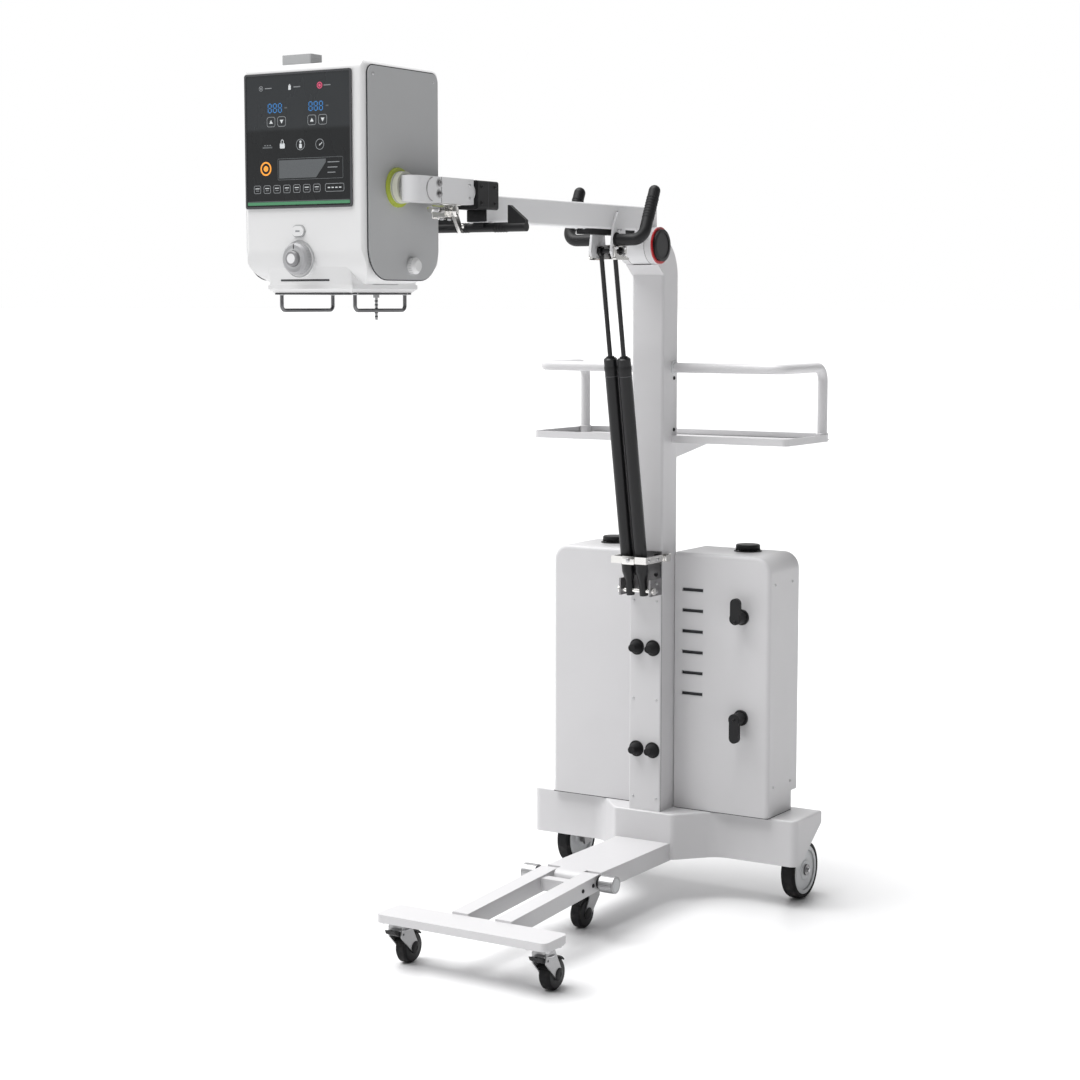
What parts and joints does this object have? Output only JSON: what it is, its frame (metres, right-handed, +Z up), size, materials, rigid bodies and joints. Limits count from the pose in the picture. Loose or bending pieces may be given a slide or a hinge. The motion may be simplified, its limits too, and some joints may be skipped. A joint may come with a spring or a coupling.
{
  "type": "portable x-ray machine",
  "caption": "Wheeled stand with column, folding front frame, gas-spring balanced arm and a tilting head with control panel for mobile radiography",
  "frame": {"origin": "on the floor, under the centre of the bounding box", "axes": "+X to the right side of the machine seen from its front, +Y to the rear, +Z up"},
  "size_m": [0.65, 1.222, 1.722],
  "materials": {
    "white": "satin white paint",
    "whiteplastic": "smooth white plastic",
    "greyplastic": "smooth light grey plastic",
    "black": "matte black plastic",
    "rubber": "black rubber",
    "tyre": "black rubber tread",
    "grey": "grey plastic",
    "steel": "plated steel",
    "chrome": "polished chrome",
    "darkmetal": "black coated steel",
    "case": "plain cast case",
    "red": "red coated ring",
    "green": "yellow-green plastic",
    "cream": "cream plastic",
    "panel": "dark glossy panel",
    "glass": "clear window"
  },
  "bodies": {
    "stand": {"base_shell": "white", "base_plate": "white", "leg": "white", "column": "white", "column_cover": "white", "cabinet_left": "white", "cabinet_right": "white", "cable_caps": "black", "cord_hooks": "black", "buffers": "rubber", "power_packs": "case", "tray": "white", "tray_rails": "white", "spring_bracket": "steel", "spring_pin": "chrome", "spring_strap": "chrome", "pivot_shaft": "darkmetal", "pivot_ring": "red", "wheel_plates": "steel"},
    "wheel_left": {"tyre_left": "tyre", "hub_left": "grey"},
    "wheel_right": {"tyre_right": "tyre", "hub_right": "grey"},
    "fold": {"folding_frame": "white"},
    "fork_left": {"caster_fork_left": "steel"},
    "fork_right": {"caster_fork_right": "steel"},
    "fork_middle": {"caster_fork_middle": "steel"},
    "roller_left": {"caster_wheel_left": "tyre"},
    "roller_right": {"caster_wheel_right": "tyre"},
    "roller_middle": {"caster_wheel_middle": "tyre"},
    "brake_left": {"pedal_left": "black"},
    "brake_right": {"pedal_right": "black"},
    "clamp_left": {"hinge_knob_left": "steel"},
    "clamp_right": {"hinge_knob_right": "steel"},
    "arm": {"arm_beam": "white", "arm_block": "black", "arm_ears": "white", "arm_pad": "rubber", "rear_grips": "black", "front_handle": "black"},
    "springs": {"spring_cylinders": "darkmetal"},
    "rods": {"spring_rods": "darkmetal"},
    "nose": {"front_tube": "white", "lock_clamp": "chrome", "head_shaft": "steel"},
    "lever": {"lock_lever": "chrome"},
    "head": {"head_ring": "green", "head_hub": "cream", "head_shell": "whiteplastic", "side_covers": "greyplastic", "control_panel": "panel", "collimator_frame": "whiteplastic", "collimator_window": "glass", "wire_bails": "chrome", "centring_pin": "chrome", "tube_tank": "case", "cable_socket": "greyplastic"},
    "dial": {"collimator_knob": "whiteplastic"},
    "key": {"hand_key": "whiteplastic"},
    "side_dial": {"side_knob": "whiteplastic"}
  },
  "joints": [
    {"name": "wheel_left_spin", "type": "hinge", "parent": "stand", "child": "wheel_left", "pos_m": [-0.281, 0.52, 0.0625], "axis": [1, 0, 0], "continuous": true},
    {"name": "wheel_right_spin", "type": "hinge", "parent": "stand", "child": "wheel_right", "pos_m": [0.281, 0.52, 0.0625], "axis": [1, 0, 0], "continuous": true},
    {"name": "frame_fold", "type": "hinge", "parent": "stand", "child": "fold", "pos_m": [0, 0.026, 0.114], "axis": [1, 0, 0], "range_deg": [-90, 0]},
    {"name": "fork_left_swivel", "type": "hinge", "parent": "fold", "child": "fork_left", "pos_m": [-0.164, -0.34, 0.085], "axis": [0, 0, 1], "continuous": true},
    {"name": "fork_right_swivel", "type": "hinge", "parent": "fold", "child": "fork_right", "pos_m": [0.164, -0.34, 0.085], "axis": [0, 0, 1], "continuous": true},
    {"name": "fork_middle_swivel", "type": "hinge", "parent": "stand", "child": "fork_middle", "pos_m": [0, 0.103, 0.085], "axis": [0, 0, 1], "continuous": true},
    {"name": "roller_left_spin", "type": "hinge", "parent": "fork_left", "child": "roller_left", "pos_m": [-0.164, -0.311, 0.031], "axis": [1, 0, 0], "continuous": true},
    {"name": "roller_right_spin", "type": "hinge", "parent": "fork_right", "child": "roller_right", "pos_m": [0.164, -0.311, 0.031], "axis": [1, 0, 0], "continuous": true},
    {"name": "roller_middle_spin", "type": "hinge", "parent": "fork_middle", "child": "roller_middle", "pos_m": [0, 0.074, 0.031], "axis": [1, 0, 0], "continuous": true},
    {"name": "brake_left_press", "type": "hinge", "parent": "fork_left", "child": "brake_left", "pos_m": [-0.164, -0.35, 0.066], "axis": [1, 0, 0], "range_deg": [0, 12]},
    {"name": "brake_right_press", "type": "hinge", "parent": "fork_right", "child": "brake_right", "pos_m": [0.164, -0.35, 0.066], "axis": [1, 0, 0], "range_deg": [0, 12]},
    {"name": "clamp_left_turn", "type": "hinge", "parent": "stand", "child": "clamp_left", "pos_m": [-0.084, 0.026, 0.114], "axis": [1, 0, 0], "range_deg": [-90, 90]},
    {"name": "clamp_right_turn", "type": "hinge", "parent": "stand", "child": "clamp_right", "pos_m": [0.084, 0.026, 0.114], "axis": [1, 0, 0], "range_deg": [-90, 90]},
    {"name": "arm_lift", "type": "hinge", "parent": "stand", "child": "arm", "pos_m": [0, 0.318, 1.398], "axis": [1, 0, 0], "range_deg": [-10, 50]},
    {"name": "spring_swing", "type": "hinge", "parent": "stand", "child": "springs", "pos_m": [0, 0.298, 0.675], "axis": [1, 0, 0], "range_deg": [-3, 0.8]},
    {"name": "rod_slide", "type": "slide", "parent": "springs", "child": "rods", "axis": [0, -0.1763, 0.9843], "range_m": [-0.12, 0.028]},
    {"name": "head_roll", "type": "hinge", "parent": "arm", "child": "nose", "pos_m": [0, -0.3503, 1.48], "axis": [0, 1, 0], "range_deg": [-90, 90]},
    {"name": "lock_turn", "type": "hinge", "parent": "nose", "child": "lever", "pos_m": [0.016, -0.4123, 1.444], "axis": [1, 0, 0], "range_deg": [-50, 10]},
    {"name": "head_tilt", "type": "hinge", "parent": "nose", "child": "head", "pos_m": [-0.04, -0.493, 1.484], "axis": [1, 0, 0], "range_deg": [-20, 30]},
    {"name": "dial_turn", "type": "hinge", "parent": "head", "child": "dial", "pos_m": [-0.198, -0.587, 1.358], "axis": [0, 1, 0], "range_deg": [-150, 150]},
    {"name": "key_press", "type": "slide", "parent": "head", "child": "key", "axis": [0, 1, 0], "range_m": [0, 0.0015], "stiffness_N_per_m": 800, "springref_m": -0.001},
    {"name": "side_dial_turn", "type": "hinge", "parent": "head", "child": "side_dial", "pos_m": [-0.045, -0.449, 1.346], "axis": [1, 0, 0], "range_deg": [-90, 90]}
  ],
  "couplings": [
    {"joint": "spring_swing", "follows": "arm_lift", "ratio": -0.055},
    {"joint": "rod_slide", "follows": "arm_lift", "m_per_rad": -0.1328}
  ]
}
